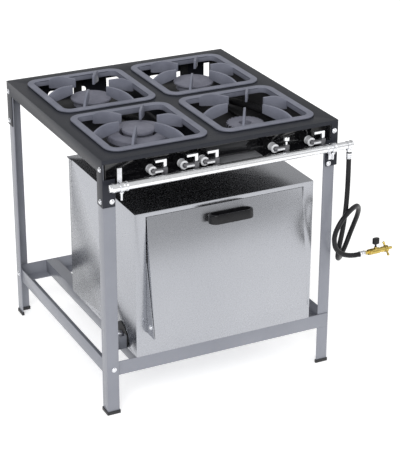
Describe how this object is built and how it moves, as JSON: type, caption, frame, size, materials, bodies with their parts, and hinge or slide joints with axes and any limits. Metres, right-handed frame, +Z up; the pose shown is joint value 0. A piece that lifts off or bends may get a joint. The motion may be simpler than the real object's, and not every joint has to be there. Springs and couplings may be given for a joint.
{
  "type": "commercial gas range",
  "caption": "Free-standing gas range: cast grates over burners on an angle-iron stand, with a steel oven below, a drop-front door and a supply hose.",
  "frame": {"origin": "centre of the footprint on the floor, the supply hose left out", "axes": "+X to the right, +Y to the back, +Z up; the taps and the oven door face -Y"},
  "size_m": [0.904, 0.8472, 0.826],
  "materials": {
    "cooktop_paint": "satin charcoal enamel",
    "gloss_panel": "high gloss black enamel",
    "stand_paint": "smooth grey enamel",
    "foot_plastic": "matte black",
    "chrome": "bright plated",
    "zinc": "zinc plated sheet",
    "tap_metal": "dull plated body",
    "black_steel": "matte black",
    "cast_iron": "fine sand-cast, silver painted",
    "grate_iron": "enamelled casting, blue grey",
    "stainless": "polished sheet",
    "handle_plastic": "moulded black",
    "hose_rubber": "smooth black",
    "brass": "turned brass"
  },
  "bodies": {
    "stand": {"cooktop": "cooktop_paint", "console_tray": "gloss_panel", "leg_front_left": "stand_paint", "leg_front_right": "stand_paint", "leg_rear_left": "stand_paint", "leg_rear_right": "stand_paint", "rail_front": "stand_paint", "rail_rear": "stand_paint", "rail_left": "stand_paint", "rail_right": "stand_paint", "oven_rail_left": "stand_paint", "oven_rail_right": "stand_paint", "inlet_bracket": "stand_paint", "foot_front_left": "foot_plastic", "foot_front_right": "foot_plastic", "foot_rear_left": "foot_plastic", "foot_rear_right": "foot_plastic", "gas_pipe": "chrome", "pipe_plug": "chrome", "hose_elbow": "chrome", "oven_rack": "chrome", "pipe_strap_left": "zinc", "pipe_strap_right": "zinc", "oven_cavity": "zinc", "tap_body_front_left_ring": "tap_metal", "tap_body_front_left_core": "tap_metal", "tap_body_rear_left": "tap_metal", "tap_body_front_right": "tap_metal", "tap_body_rear_right": "tap_metal", "burner_bar_left": "black_steel", "burner_bar_right": "black_steel", "spill_tray": "black_steel", "burner_rear_left": "cast_iron", "burner_cap_rear_left": "cast_iron", "burner_rear_right": "cast_iron", "burner_cap_rear_right": "cast_iron", "burner_front_left_ring": "cast_iron", "burner_front_left_core": "cast_iron", "burner_cap_front_left": "cast_iron", "burner_front_right": "cast_iron", "oven_burner": "cast_iron", "oven_case": "stainless", "hinge_plate_left": "stainless", "hinge_plate_right": "stainless", "hose": "hose_rubber", "valve_body": "brass"},
    "oven_door": {"door_shell": "stainless", "door_back": "zinc", "door_handle": "handle_plastic"},
    "lever_front_left_ring": {"tap_lever_front_left_ring": "chrome"},
    "lever_front_left_core": {"tap_lever_front_left_core": "chrome"},
    "lever_rear_left": {"tap_lever_rear_left": "chrome"},
    "knob_front_right": {"tap_knob_front_right": "chrome"},
    "lever_rear_right": {"tap_lever_rear_right": "chrome"},
    "pan_grate_front_left": {"grate_front_left": "grate_iron"},
    "pan_grate_front_right": {"grate_front_right": "grate_iron"},
    "pan_grate_rear_left": {"grate_rear_left": "grate_iron"},
    "pan_grate_rear_right": {"grate_rear_right": "grate_iron"},
    "hose_valve_knob": {"valve_knob": "handle_plastic"},
    "hose_wing_nut": {"wing_nut": "brass"}
  },
  "joints": [
    {"name": "oven_door_hinge", "type": "hinge", "parent": "stand", "child": "oven_door", "pos_m": [-0.0067, -0.37114, 0.271], "axis": [1, 0, 0], "range_deg": [0, 82]},
    {"name": "lever_front_left_ring_turn", "type": "hinge", "parent": "stand", "child": "lever_front_left_ring", "pos_m": [-0.206, -0.35514, 0.766], "axis": [0, 0, 1], "range_deg": [0, 90]},
    {"name": "lever_front_left_core_turn", "type": "hinge", "parent": "stand", "child": "lever_front_left_core", "pos_m": [-0.109, -0.35514, 0.766], "axis": [0, 0, 1], "range_deg": [0, 90]},
    {"name": "lever_rear_left_turn", "type": "hinge", "parent": "stand", "child": "lever_rear_left", "pos_m": [-0.045, -0.35514, 0.766], "axis": [0, 0, 1], "range_deg": [0, 90]},
    {"name": "knob_front_right_turn", "type": "hinge", "parent": "stand", "child": "knob_front_right", "pos_m": [0.18, -0.35514, 0.766], "axis": [0, 0, 1], "range_deg": [0, 90]},
    {"name": "lever_rear_right_turn", "type": "hinge", "parent": "stand", "child": "lever_rear_right", "pos_m": [0.3, -0.35514, 0.766], "axis": [0, 0, 1], "range_deg": [0, 90]},
    {"name": "grate_front_left_lift", "type": "slide", "parent": "stand", "child": "pan_grate_front_left", "axis": [0, 0, 1], "range_m": [0, 0.06]},
    {"name": "grate_front_right_lift", "type": "slide", "parent": "stand", "child": "pan_grate_front_right", "axis": [0, 0, 1], "range_m": [0, 0.06]},
    {"name": "grate_rear_left_lift", "type": "slide", "parent": "stand", "child": "pan_grate_rear_left", "axis": [0, 0, 1], "range_m": [0, 0.06]},
    {"name": "grate_rear_right_lift", "type": "slide", "parent": "stand", "child": "pan_grate_rear_right", "axis": [0, 0, 1], "range_m": [0, 0.06]},
    {"name": "valve_knob_turn", "type": "hinge", "parent": "stand", "child": "hose_valve_knob", "pos_m": [0.454, -0.43014, 0.415], "axis": [0, 0, 1], "range_deg": [0, 90]},
    {"name": "wing_nut_turn", "type": "hinge", "parent": "stand", "child": "hose_wing_nut", "pos_m": [0.491, -0.43014, 0.393], "axis": [1, 0, 0], "continuous": true}
  ]
}
